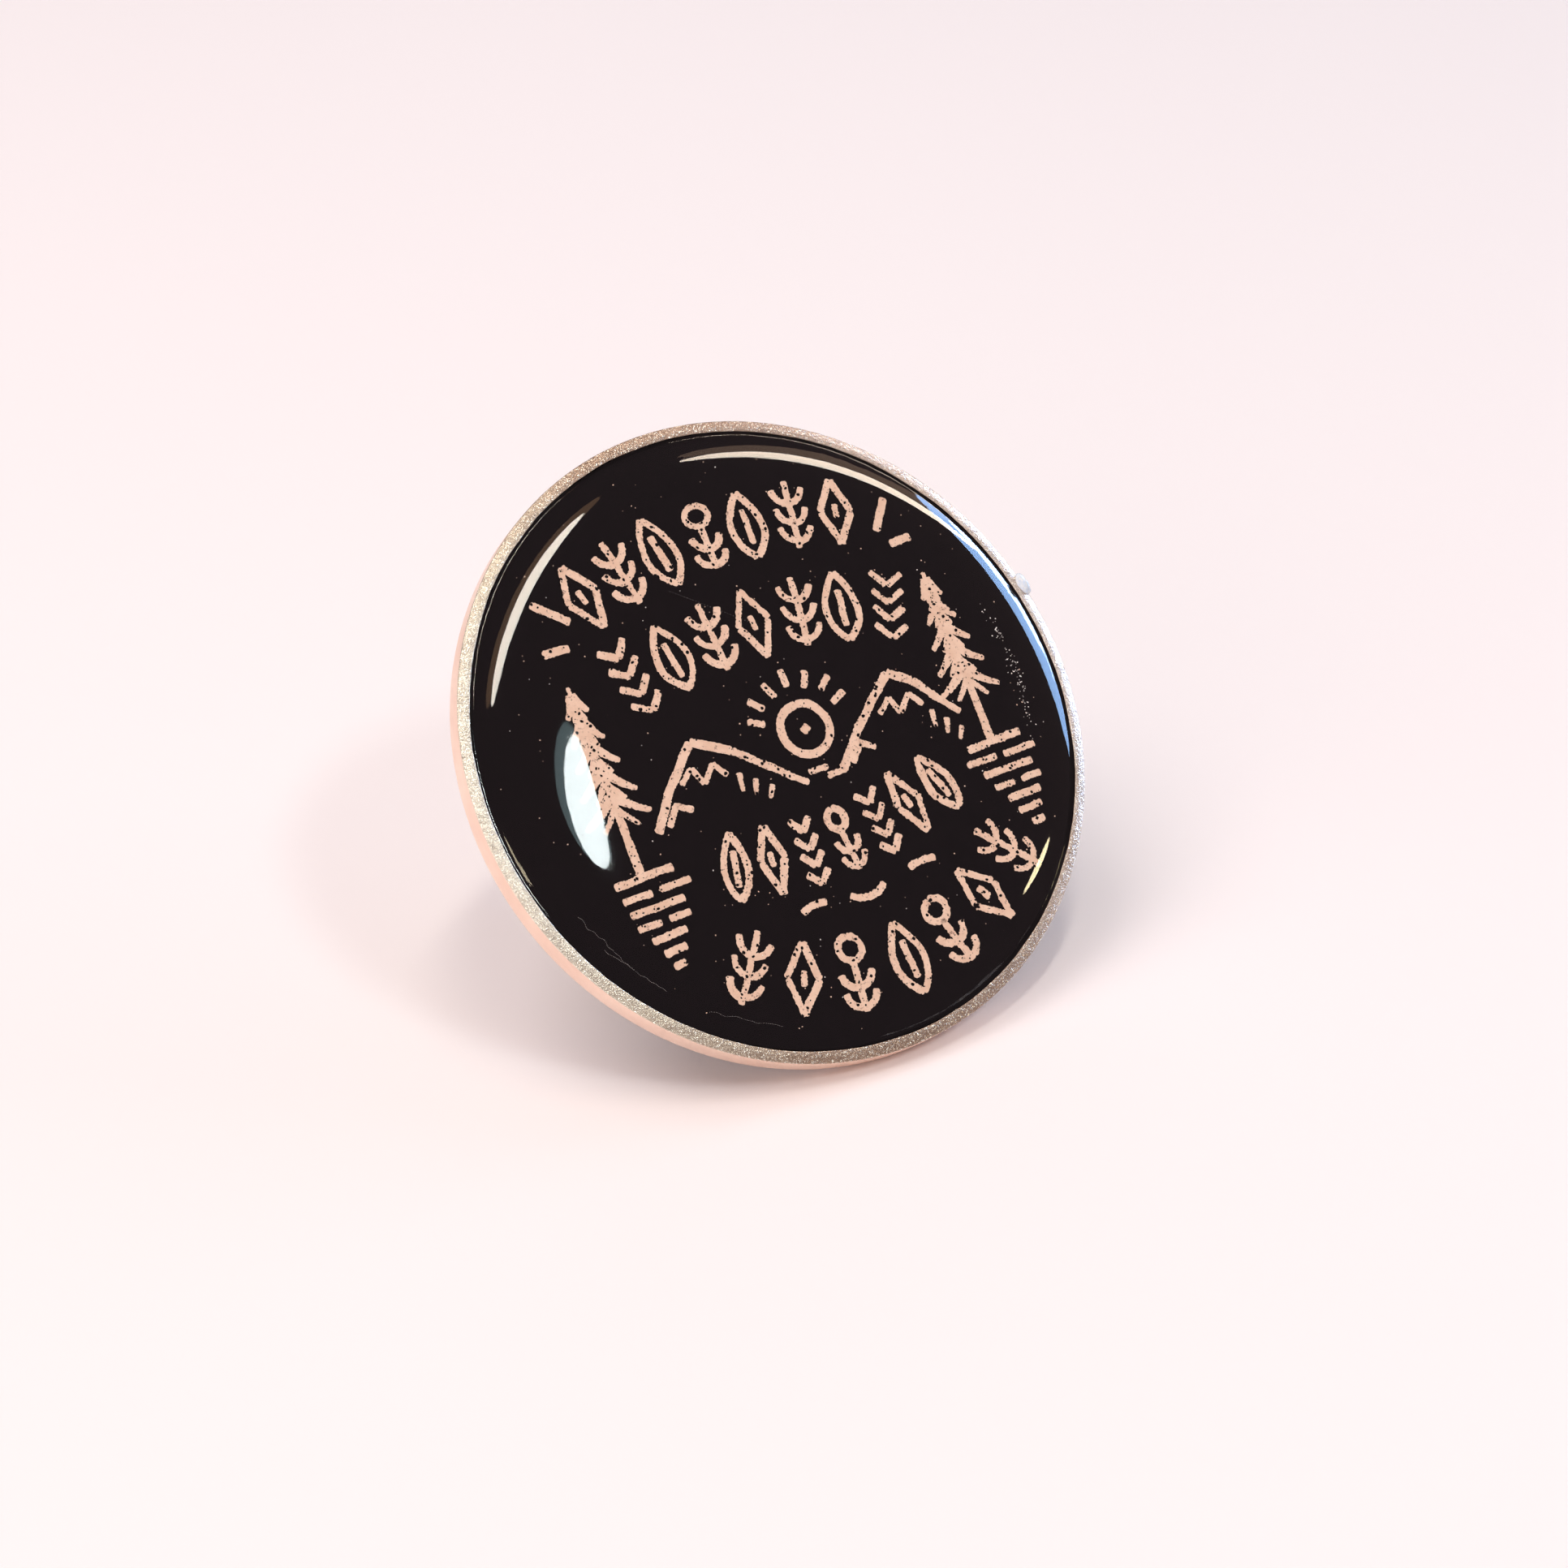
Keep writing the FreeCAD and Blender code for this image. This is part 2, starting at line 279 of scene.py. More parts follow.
def black_print():
    """Black printed film, a little warm, with a faint mottle and pin-point ink dust."""
    look = Look("black_print")
    mottle = look.noise(0.9, 4, 0.6)
    base = look.blend(look.ramp(mottle, [(0.35, 0.0), (0.7, 1.0)]), rgb(5, 1, 3), rgb(9, 4, 6))
    dust = look.ramp(look.noise(0.06, 1), [(0.79, 0.0), (0.83, 1.0)])
    colour = look.blend(dust, base, rgb(62, 50, 46))
    rough = look.ramp(mottle, [(0.3, 0.45), (0.7, 0.62)])
    normal = look.bump(look.noise(0.12, 3), 0.003, 0.4)
    return look.surface(Base_Color=colour, Roughness=rough, Specular_IOR_Level=0.03, Normal=normal)


def rose_ink():
    """Worn rose-beige ink: blotchy, thin at places so that the black grins through."""
    look = Look("rose_ink")
    blotch = look.noise(0.5, 4, 0.6)
    patch = look.ramp(blotch, [(0.35, 0.0), (0.65, 1.0)])
    colour = look.blend(patch, rgb(252, 220, 198), rgb(240, 204, 180))
    thin = look.ramp(look.noise(0.15, 4, 0.7), [(0.58, 0.0), (0.68, 1.0)])
    colour = look.blend(thin, colour, rgb(160, 122, 106))
    rough = look.ramp(blotch, [(0.3, 0.5), (0.7, 0.7)])
    normal = look.bump(look.noise(0.08, 3), 0.004, 0.5)
    return look.surface(Base_Color=colour, Roughness=rough, Specular_IOR_Level=0.2, Normal=normal)


def clear_resin():
    """Clear cast resin: seen straight through, with a sharp Fresnel gloss on its outer side."""
    look = Look("clear_resin")
    waves = look.bump(look.noise(3.5, 1), 0.02, 0.25)
    fine = look.bump(look.noise(0.35, 2), 0.0015, 0.25, waves)
    gloss = look.add("BsdfGlossy", Color=WHITE, Roughness=0.03, Normal=fine)
    clear = look.add("BsdfTransparent", Color=WHITE)
    fresnel = look.add("Fresnel", IOR=1.52, Normal=fine)
    inside = look.tree.nodes.new("ShaderNodeNewGeometry").outputs["Backfacing"]
    outside = look.math("SUBTRACT", 1.0, inside)
    share = look.math("MULTIPLY", fresnel.outputs[0], outside)
    mixed = look.add("MixShader", Fac=share)
    look.tree.links.new(clear.outputs[0], mixed.inputs[1])
    look.tree.links.new(gloss.outputs[0], mixed.inputs[2])
    look.tree.links.new(mixed.outputs[0], look.output.inputs["Surface"])
    return look.material


def glint_white_resin():
    """The set bead of resin: glossy, varied in patches, and coloured a bluish white that is a
    painted glint of the window light on it.
    """
    look = Look("glint_white_resin")
    cloud = look.noise(0.12, 3)
    patch = look.ramp(cloud, [(0.35, 0.0), (0.65, 1.0)])
    # painted glint: the bluish whites stand in for the window's light shining off the bead
    colour = look.blend(patch, rgb(244, 250, 255), rgb(214, 230, 252))
    rough = look.ramp(cloud, [(0.3, 0.12), (0.7, 0.3)])
    return look.surface(Base_Color=colour, Roughness=rough, Normal=look.bump(cloud, 0.01, 0.6))


def milky_adhesive():
    """The adhesive under the insert, with small bubbles."""
    look = Look("milky_adhesive")
    bubbles = look.noise(0.6, 3)
    patch = look.ramp(bubbles, [(0.4, 0.0), (0.7, 1.0)])
    colour = look.blend(patch, rgb(226, 220, 208), rgb(206, 198, 184))
    normal = look.bump(bubbles, 0.01, 0.5)
    return look.surface(Base_Color=colour, Roughness=0.45, Normal=normal)


def bright_nickel(name, light, dark, rough_low, rough_high):
    """Plated stamped sheet: drawing lines, soft dents and slightly duller patches."""
    look = Look(name)
    cloud = look.noise(1.6, 3)
    fine = look.noise(0.09, 3, 0.6)
    colour = look.blend(look.ramp(cloud, [(0.35, 0.0), (0.7, 1.0)]), light, dark)
    rough = look.ramp(look.blend(0.6, fine, cloud), [(0.35, rough_low), (0.65, rough_high)])
    normal = look.bump(fine, 0.003, 0.5, look.bump(cloud, 0.03, 0.3))
    return look.surface(Base_Color=colour, Metallic=1.0, Roughness=rough, Normal=normal)


def dull_solder():
    """Solder as it sets, grey and grainy."""
    look = Look("dull_solder")
    grain = look.noise(0.16, 4, 0.6)
    patch = look.ramp(grain, [(0.35, 0.0), (0.7, 1.0)])
    colour = look.blend(patch, rgb(176, 174, 172), rgb(138, 135, 132))
    rough = look.ramp(grain, [(0.3, 0.34), (0.7, 0.55)])
    normal = look.bump(grain, 0.02, 0.6)
    return look.surface(Base_Color=colour, Metallic=1.0, Roughness=rough, Normal=normal)


def pale_dust():
    """Matt pale dust and hairlines."""
    look = Look("pale_dust")
    tone = look.noise(0.2, 2)
    colour = look.blend(tone, rgb(255, 252, 250), rgb(226, 222, 220))
    return look.surface(Base_Color=colour, Roughness=0.8)


WALL = warm_reflection_wall()
RIM = sanded_rim()
BACK = satin_back()
PRINT = black_print()
INK = rose_ink()
RESIN = clear_resin()
GLINT_WHITE = glint_white_resin()
NICKEL = bright_nickel("clutch_nickel", rgb(222, 216, 208), rgb(198, 190, 181), 0.12, 0.26)
STEEL = bright_nickel("post_nickel", rgb(212, 206, 199), rgb(186, 179, 171), 0.16, 0.32)
BRASS = bright_nickel("spring_brass", rgb(214, 180, 110), rgb(186, 150, 84), 0.2, 0.36)
SOLDER = dull_solder()
DUST = pale_dust()

for node_name, material in {
    "adhesive_disc": milky_adhesive(),
    "printed_insert": PRINT,
    "post": STEEL,
    "clutch_plate": NICKEL,
    "clutch_cap": NICKEL,
    "clip_spring": BRASS,
    "wing_right": NICKEL,
    "wing_left": NICKEL,
}.items():
    for material_slot in frame["nodes"][node_name].material_slots:
        material_slot.material = material


# ---------------------------------------------------------------- turned pieces

TURNED_SEGMENTS = 360


def rounded_profile(corners, steps=5):
    """Points of a profile whose corners are (radius, z, rounding)."""
    points = []
    for i, corner in enumerate(corners):
        here = Vector(corner[:2])
        if len(corner) < 3:
            points.append(here)
            continue
        before = (Vector(corners[i - 1][:2]) - here).normalized()
        after = (Vector(corners[i + 1][:2]) - here).normalized()
        half = before.angle(after) / 2
        centre = here + (before + after).normalized() * (corner[2] / math.sin(half))
        start = here + before * (corner[2] / math.tan(half)) - centre
        turn = start.angle_signed(here + after * (corner[2] / math.tan(half)) - centre)
        for step in range(steps + 1):
            angle = -turn * step / steps
            points.append(centre + Matrix.Rotation(angle, 2) @ start)
    return points


def lathe(profile, segments, shape=None):
    """Vertices and faces of a profile turned about Z. shape(r, z, angle) may move a point."""
    verts, faces, rings = [], [], []
    for r, z in profile:
        if r < 1e-9:
            rings.append([len(verts)])
            verts.append((0, 0, z))
            continue
        rings.append(list(range(len(verts), len(verts) + segments)))
        for i in range(segments):
            angle = 2 * math.pi * i / segments
            rr, zz = shape(r, z, angle) if shape else (r, z)
            verts.append((rr * math.cos(angle), rr * math.sin(angle), zz))
    for a, b in zip(rings, rings[1:]):
        for i in range(segments):
            j = (i + 1) % segments
            corners = [a[i % len(a)], a[j % len(a)], b[j % len(b)], b[i % len(b)]]
            faces.append(tuple(dict.fromkeys(corners)))
    return verts, faces


def around(angle, size, seed):
    """Smooth noise round a circle, from -1 to 1, with features of size radians."""
    return noise.noise(Vector((math.cos(angle) / size, math.sin(angle) / size, seed)))


def tray_look(corners):
    """The material of one face of the tray. Its well takes the print's black: under the insert it is
    hidden, and on the well's wall above the insert it is a painted reflection of the black print.
    """
    radii = [math.hypot(x, y) for x, y, z in corners]
    heights = [z for x, y, z in corners]
    if min(heights) > TRAY_HEIGHT - RIM_CROWN - RIM_EDGE_ROUND * 0.6:
        return RIM
    # painted reflection: the well's wall above the insert gets the black print, for the print it
    # reflects
    if max(radii) < BADGE_R - 0.2 and min(heights) > TRAY_FLOOR - 0.01:
        return PRINT
    if max(heights) < PAD_RECESS_DEPTH + 0.02 and min(radii) < BADGE_R - BACK_EDGE_ROUND - 0.01:
        return BACK
    return WALL


def make_tray():
    profile = rounded_profile([
        (0, PAD_RECESS_DEPTH),
        (PAD_RECESS_R, PAD_RECESS_DEPTH),
        (PAD_RECESS_R, 0),
        (BADGE_R, 0, BACK_EDGE_ROUND),
        (BADGE_R, TRAY_HEIGHT - RIM_CROWN, RIM_EDGE_ROUND),
        (BADGE_R - 0.28, TRAY_HEIGHT - 0.005, 0.35),
        (WELL_R, TRAY_HEIGHT, RIM_EDGE_ROUND / 2),
        (WELL_R, TRAY_FLOOR),
        (0, TRAY_FLOOR),
    ])

    def uneven(r, z, angle):
        """The rim's inner edge wanders, and its top has faint lows, as hand finishing leaves."""
        if z < TRAY_HEIGHT - 1.5 * RIM_EDGE_ROUND or r > BADGE_R - 0.02:
            return r, z
        inner = max(0, 1 - (r - WELL_R) / (0.5 * (BADGE_R - WELL_R)))
        r += inner * (0.025 * around(angle, 0.16, 3) + 0.015 * around(angle, 0.04, 8))
        return r, z - 0.008 * (1 + around(angle, 0.3, 5))

    verts, faces = lathe(profile, TURNED_SEGMENTS, uneven)
    looks = [WALL, RIM, BACK, PRINT]
    kinds = [looks.index(tray_look([verts[i] for i in face])) for face in faces]
    tray = new_piece("tray_shell", verts, faces, "badge", looks, kinds)
    tray.data.set_sharp_from_angle(angle=math.radians(32))
    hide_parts("tray")


def dome_height(r):
    """The resin's top: a flat-topped dome that turns up a little where it wets the rim."""
    inner = min(r, MENISCUS_R)
    z = DOME_SHOULDER + DOME_RISE * (1 - (inner / DOME_SPAN) ** DOME_POWER)
    past = r - inner
    slope = -DOME_RISE * DOME_POWER / DOME_SPAN * (MENISCUS_R / DOME_SPAN) ** (DOME_POWER - 1)
    bend = (MENISCUS_SLOPE - slope) / (DOME_R - MENISCUS_R)
    return z + slope * past + bend * past ** 2 / 2


def make_dome():
    rings = 110
    crown = []
    for i in range(rings + 1):
        r = DOME_R * math.sin(math.pi / 2 * i / rings) ** 0.8
        crown.append(Vector((r, dome_height(r))))
    profile = [Vector((0, DOME_BOTTOM)), Vector((DOME_R, DOME_BOTTOM))] + crown[::-1]

    def uneven(r, z, angle):
        """The resin's foot wets the rim a little more in some places than in others."""
        share = max(0, 1 - (DOME_R - r) / 0.5)
        if z > DOME_BOTTOM + 1e-6:
            r += share * (0.02 * around(angle, 0.12, 14) + 0.012 * around(angle, 0.03, 2))
        return r, z

    verts, faces = lathe(profile, TURNED_SEGMENTS, uneven)
    dome = new_piece("dome_cast", verts, faces, "badge", [RESIN])
    dome.data.set_sharp_from_angle(angle=math.radians(50))
    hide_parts("resin_dome")


def make_bead():
    """The lumpy bead of resin that ran over the rim and set there."""
    turns = [math.pi * i / 14 for i in range(15)]
    profile = [Vector((math.sin(turn), -math.cos(turn))) for turn in turns]
    outward = Vector((math.cos(BEAD_AT), math.sin(BEAD_AT), 0))
    along = Vector((-outward.y, outward.x, 0))
    middle = outward * (BADGE_R + 0.01) + Vector((0, 0, TRAY_HEIGHT - 0.05))
    verts, faces = lathe(profile, 28)
    across, length, height = BEAD_HALF
    placed = []
    for vert in verts:
        x, y, z = Vector(vert) * (1 + 0.3 * noise.noise(Vector(vert) * 1.3))
        lifted = Vector((0, 0, height * z))
        placed.append(middle + outward * across * x + along * length * y + lifted)
    # the bead's bluish white is a painted glint of the window
    new_piece("resin_bead", placed, faces, "badge", [GLINT_WHITE])


def make_solder():
    """Solder fillet with a lumpy edge, thicker in some places than in others."""
    profile = [
        Vector((PAD_R, PAD_RECESS_DEPTH)),
        Vector((PAD_R, -SOLDER_PROUD)),
        Vector((PAD_R + 0.08, -SOLDER_PROUD)),
        Vector((PAD_R + 0.22, -SOLDER_PROUD * 0.55)),
        Vector((PAD_R + 0.36, -SOLDER_PROUD * 0.2)),
        Vector((PAD_RECESS_R, 0.01)),
        Vector((PAD_RECESS_R, PAD_RECESS_DEPTH)),
        Vector((PAD_R, PAD_RECESS_DEPTH)),
    ]

    def lumpy(r, z, angle):
        if z > 0 or r < PAD_R + 0.01:
            return r, z
        thinner = 0.25 * (1 + around(angle, 0.4, 11)) / 2
        return r + 0.03 * around(angle, 0.25, 21), z * (1 - thinner)

    verts, faces = lathe(profile, 160, lumpy)
    ring = new_piece("solder_fillet", verts, faces, "badge", [SOLDER])
    ring.data.set_sharp_from_angle(angle=math.radians(40))
    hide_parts("solder_ring")


make_tray()
make_dome()
make_bead()
make_solder()


# ---------------------------------------------------------------- the print

# Places on the strokes, which wear_print turns into black chips.
ink_spots = []


class Ink:
    """Gathers hand-drawn strokes as thin closed strips with worn edges."""

    def __init__(self, seed):
        self.random = random.Random(seed)
        self.verts = []
        self.faces = []

    def stroke(self, points, width=INK_WIDTH, taper=0.0):
        """One stroke along points. taper thins it towards its end, from 0 to 1."""
        line = resampled([Vector(p) for p in points], STROKE_STEP)
        seed = self.random.uniform(0, 100)
        first = len(self.verts)
        top = INK_TOP + self.random.uniform(0, 0.003)
        count = len(line)
        for i, point in enumerate(line):
            ahead = (line[min(i + 1, count - 1)] - line[max(i - 1, 0)]).normalized()
            side = Vector((-ahead.y, ahead.x))
            share = i / (count - 1)
            from_end = min(i, count - 1 - i) * STROKE_STEP
            blunt = min(1, 0.62 + from_end / 0.13)
            half = 0.5 * width * (1 - taper * share) * blunt
            half *= 1 + 0.16 * noise.noise(Vector((i * 0.12, seed, 0)))
            drift = 0.035 * noise.noise(Vector((i * 0.07, seed, 9)))
            for sign in (1, -1):
                rough = 0.05 * noise.noise(Vector((i * 0.83, seed, 20 * sign)))
                edge = point + side * (drift + sign * max(0.03, half + rough))
                self.verts.append((edge.x, edge.y, top))
                self.verts.append((edge.x, edge.y, INK_BASE))
            if self.random.random() < 0.12:
                ink_spots.append(point + side * self.random.uniform(-0.85, 0.85) * half)
        for i in range(first, first + 4 * (count - 1), 4):
            a, b, c, d = i, i + 2, i + 6, i + 4
            self.faces.append((a, b, c, d))
            self.faces.append((a + 1, d + 1, c + 1, b + 1))
            self.faces.append((a, d, d + 1, a + 1))
            self.faces.append((b, b + 1, c + 1, c))
        last = first + 4 * (count - 1)
        self.faces.append((first, first + 1, first + 3, first + 2))
        self.faces.append((last, last + 2, last + 3, last + 1))

    def piece(self, name):
        new_piece(name, self.verts, self.faces, "badge", [INK], smooth=False)


def resampled(points, step):
    """Points at equal steps along a polyline."""
    lengths = [0.0]
    for a, b in zip(points, points[1:]):
        lengths.append(lengths[-1] + (b - a).length)
    count = max(2, round(lengths[-1] / step))
    line, k = [], 0
    for i in range(count + 1):
        target = lengths[-1] * i / count
        while k < len(points) - 2 and lengths[k + 1] < target:
            k += 1
        span = lengths[k + 1] - lengths[k] or 1
        line.append(points[k].lerp(points[k + 1], (target - lengths[k]) / span))
    return line


def curve(start, middle, end, steps=10):
    """Points of a soft arc through three places."""
    start, middle, end = Vector(start), Vector(middle), Vector(end)
    pull = 2 * middle - (start + end) / 2
    return [
        start * (1 - t) ** 2 + pull * 2 * t * (1 - t) + end * t * t
        for t in (i / steps for i in range(steps + 1))
    ]


# Ornaments, drawn in a box from -0.5 to 0.5 across and 0 to 1 up. Each is a list of strokes.

def sprig():
    strokes = [[(0, 0), (0.02, 0.5), (0, 1)]]
    for y in (0.10, 0.38, 0.66):
        for side in (-1, 1):
            strokes.append(curve((0, y), (side * 0.30, y + 0.06), (side * 0.46, y + 0.22)))
    return strokes


def lozenge():
    ring = [(0, 0), (-0.46, 0.5), (0, 1), (0.46, 0.5), (0, 0)]
    return [[a, b] for a, b in zip(ring, ring[1:])] + [[(0, 0.40), (0, 0.62)]]


def leaf():
    sides = [curve((0, 0), (side * 0.46, 0.44), (0, 1)) for side in (-1, 1)]
    return sides + [[(0, 0.2), (0, 0.74)]]


def chevrons():
    strokes = []
    for y in (0.0, 0.27, 0.54, 0.81):
        strokes += [[(side * 0.44, y + 0.2), (0, y)] for side in (-1, 1)]
    return strokes


def bloom():
    turns = [math.tau * i / 18 for i in range(19)]
    ring = [(0.34 * math.sin(turn), 0.83 + 0.16 * math.cos(turn)) for turn in turns]
    strokes = [ring, [(0, 0.67), (0, 0)]]
    for y in (0.06, 0.32):
        for side in (-1, 1):
            strokes.append(curve((0, y), (side * 0.30, y + 0.05), (side * 0.44, y + 0.2)))
    return strokes


def band(ink, ornaments, centre, radius, first, last, height, width, flip=False):
    """Ornaments that stand on an arc, from first to last in degrees off its upright.

    A negative radius puts the centre over the arc, so that the row sags.
    """
    for i, ornament in enumerate(ornaments):
        lean = math.radians(first + (last - first) * i / (len(ornaments) - 1))
        foot = Vector(centre) + Vector((math.sin(lean), math.cos(lean))) * radius
        turn = Matrix.Rotation(ink.random.uniform(-0.05, 0.05) - lean, 2)
        tall = height * ink.random.uniform(0.94, 1.03)
        for points in ornament():
            shake = Vector((ink.random.uniform(-0.03, 0.03), ink.random.uniform(-0.03, 0.03)))
            placed = []
            for across, up in points:
                up = 1 - up if flip else up
                placed.append(turn @ Vector((across * width, up * tall)) + foot + shake)
            ink.stroke(placed, INK_WIDTH * ink.random.uniform(0.86, 1.08))


def draw_borders():
    ink = Ink(3)
    row = [lozenge, sprig, leaf, bloom, leaf, sprig, lozenge]
    band(ink, row, (1.4, -14.4), 21.2, -17.8, 11.2, 2.75, 1.4)
    for start, end in (
        ((-7.55, 7.33), (-6.3, 6.3)),
        ((-7.8, 5.4), (-6.7, 5.4)),
        ((7.95, 7.7), (7.1, 6.5)),
        ((7.45, 5.85), (8.4, 5.95)),
    ):
        ink.stroke([start, end], 0.32)
    ink.piece("print_top_border")

    ink = Ink(8)
    row = [chevrons, leaf, sprig, lozenge, sprig, leaf, chevrons]
    band(ink, row, (0.9, -17.0), 20, -15.6, 14.8, 2.75, 1.45)
    ink.piece("print_upper_row")

    ink = Ink(13)
    row = [leaf, lozenge, chevrons, bloom, chevrons, lozenge, leaf]
    band(ink, row, (-0.56, 12.93), -18.7, 10.6, -20.2, 2.6, 1.05)
    for start, middle, end in (
        ((-1.9, -6.6), (-1.4, -6.42), (-0.8, -6.45)),
        ((0.2, -6.5), (0.9, -6.78), (1.7, -6.45)),
        ((2.9, -6.25), (3.5, -6.12), (4.1, -6.2)),
    ):
        ink.stroke(curve(start, middle, end), 0.27)
    ink.piece("print_lower_row")

    ink = Ink(21)
    row = [sprig, lozenge, bloom, leaf, bloom, lozenge, sprig]
    band(ink, row, (0.5, 0.0), -10.85, 34.0, -45.0, 2.9, 1.4)
    ink.piece("print_bottom_border")


def draw_sun():
    """A small sun between the peaks, with broken rays over it."""
    ink = Ink(34)
    centre = Vector((1.05, -0.05))
    turns = [math.tau * i / 24 for i in range(25)]
    ring = [centre + Vector((math.sin(turn), math.cos(turn))) for turn in turns]
    ink.stroke(ring, 0.33)
    ink.stroke([centre + Vector((-0.16, -0.1)), centre + Vector((0.16, 0.1))], 0.34)
    for dx, y in ((-0.55, -1.62), (0.12, -1.95)):
        ink.stroke([centre + Vector((dx, y)), centre + Vector((dx + 0.85, y + 0.04))], 0.24)
    for i, angle in enumerate((158, 138, 115, 92, 68, 45, 24)):
        way = Vector((math.cos(math.radians(angle)), math.sin(math.radians(angle))))
        inner = 1.6 + 0.12 * (i % 2)
        ink.stroke([centre + way * inner, centre + way * (inner + 0.72)], 0.27)
    ink.piece("print_sun")


def peak(ink, left, apex, right):
    """A peak's outline, a jagged edge of snow under its top, and slanting shade strokes."""
    left, apex, right = Vector(left), Vector(apex), Vector(right)
    knee = left.lerp(apex, 0.42) + Vector((-0.12, 0.06))
    ink.stroke([left, knee, apex], 0.34)
    shoulder = apex.lerp(right, 0.36) + Vector((0.05, 0.24))
    ink.stroke([apex, shoulder], 0.36)
    ink.stroke([shoulder, right], 0.33, 0.25)
    snow = [(-0.95, -1.45), (-0.32, -0.95), (-0.05, -1.65), (0.55, -1.0), (0.95, -1.6)]
    for a, b in zip(snow, snow[1:]):
        ink.stroke([apex + Vector(a), apex + Vector(b)], 0.23)
    along = (right - apex).normalized()
    for i in range(3):
        start = apex + along * (1.95 + 0.68 * i) + Vector((-0.18, -0.5))
        ink.stroke([start, start + Vector((-0.1 - 0.1 * i, -0.72 + 0.12 * i))], 0.23, 0.3)
    foot = [left + Vector((0.5, 0.1)), left + Vector((1.05, 0.8)), left + Vector((1.65, 0.45))]
    ink.stroke(foot, 0.25)


def draw_peaks():
    ink = Ink(55)
    peak(ink, (-6.1, -2.15), (-3.6, 0.75), (0.35, -2.05))
    peak(ink, (1.9, -1.95), (5.15, 1.1), (7.5, -1.2))
    ink.piece("print_peaks")


def pine(ink, foot, height, spread):
    """A pine: a trunk, and drooping tiers of boughs that widen towards the ground."""
    foot = Vector(foot)
    ink.stroke([foot, foot + Vector((0.05, height * 0.5)), foot + Vector((0, height))], 0.36, 0.55)
    tiers = 5
    for i in range(tiers):
        share = i / (tiers - 1)
        y = height * (0.94 - 0.54 * share)
        reach = spread * (0.34 + 0.66 * share)
        drop = height * (0.09 + 0.025 * share)
        for side in (-1, 1):
            tip = foot + Vector((side * reach, y - drop + ink.random.uniform(-0.1, 0.1)))
            root = foot + Vector((0, y + 0.12))
            bend = root.lerp(tip, 0.5) + Vector((side * 0.03, -0.10))
            ink.stroke(curve(root, bend, tip), 0.42, 0.55)
            inner = foot + Vector((side * reach * 0.52, y - drop * 1.35))
            ink.stroke([foot + Vector((0, y - drop * 0.4)), inner], 0.26, 0.35)
    ink.stroke([foot + Vector((-1.15, -0.16)), foot + Vector((1.3, -0.02))], 0.3)


def water(ink, top, drift):
    """Short level strokes under a pine, shorter from row to row."""
    for i in range(6):
        x = top[0] + drift * i + ink.random.uniform(-0.1, 0.1)
        y = top[1] - 0.56 * (i + 1)
        reach = (1.5 - 0.24 * i) * ink.random.uniform(0.92, 1.08)
        if i in (0, 2):
            gap = reach * ink.random.uniform(-0.1, 0.2)
            ink.stroke([(x - reach, y - 0.03), (x + gap - 0.16, y)], 0.26)
            ink.stroke([(x + gap + 0.16, y), (x + reach, y + 0.04)], 0.26)
        else:
            ink.stroke([(x - reach, y - 0.03), (x + reach * 0.9, y + 0.04)], 0.28)


def draw_pines():
    ink = Ink(89)
    pine(ink, (-7.35, -3.4), 7.4, 1.35)
    pine(ink, (8.3, -2.55), 7.0, 1.3)
    water(ink, (-7.05, -3.55), -0.03)
    water(ink, (8.45, -2.7), 0.10)
    ink.piece("print_pines")


def blot(verts, faces, seeded, x, y, low, high, size):
    """Adds one irregular flat speck between two levels."""
    sides = seeded.randint(6, 8)
    first = len(verts)
    stretch = seeded.uniform(0.65, 1.0)
    turn = seeded.uniform(0, math.tau)
    for i in range(sides):
        angle = math.tau * i / sides
        reach = size * seeded.uniform(0.75, 1.15)
        px, py = reach * math.cos(angle), reach * math.sin(angle) * stretch
        off_x = px * math.cos(turn) - py * math.sin(turn)
        off_y = px * math.sin(turn) + py * math.cos(turn)
        verts.append((x + off_x, y + off_y, high))
        verts.append((x + off_x, y + off_y, low))
    faces.append(tuple(range(first, first + 2 * sides, 2)))
    faces.append(tuple(range(first + 1, first + 2 * sides, 2))[::-1])
    for i in range(sides):
        a, b = first + 2 * i, first + 2 * ((i + 1) % sides)
        faces.append((a, a + 1, b + 1, b))


def wear_print(spots):
    """Black flecks where the ink has chipped, and stray specks of ink on the black."""
    seeded = random.Random(5)
    verts, faces = [], []
    for x, y in spots:
        size = seeded.choice((0.025, 0.03, 0.04, 0.05, 0.075))
        high = FLECK_TOP + seeded.uniform(0, 0.002)
        blot(verts, faces, seeded, x, y, INK_BASE, high, size)
    new_piece("print_chips", verts, faces, "badge", [PRINT], smooth=False)
    verts, faces = [], []
    for _ in range(260):
        r, angle = 11.4 * math.sqrt(seeded.random()), seeded.uniform(0, math.tau)
        high = INK_BASE + seeded.uniform(0.002, 0.004)
        size = seeded.choice((0.012, 0.016, 0.02, 0.03))
        blot(verts, faces, seeded, r * math.cos(angle), r * math.sin(angle), INSERT_TOP, high, size)
    new_piece("print_specks", verts, faces, "badge", [INK], smooth=False)


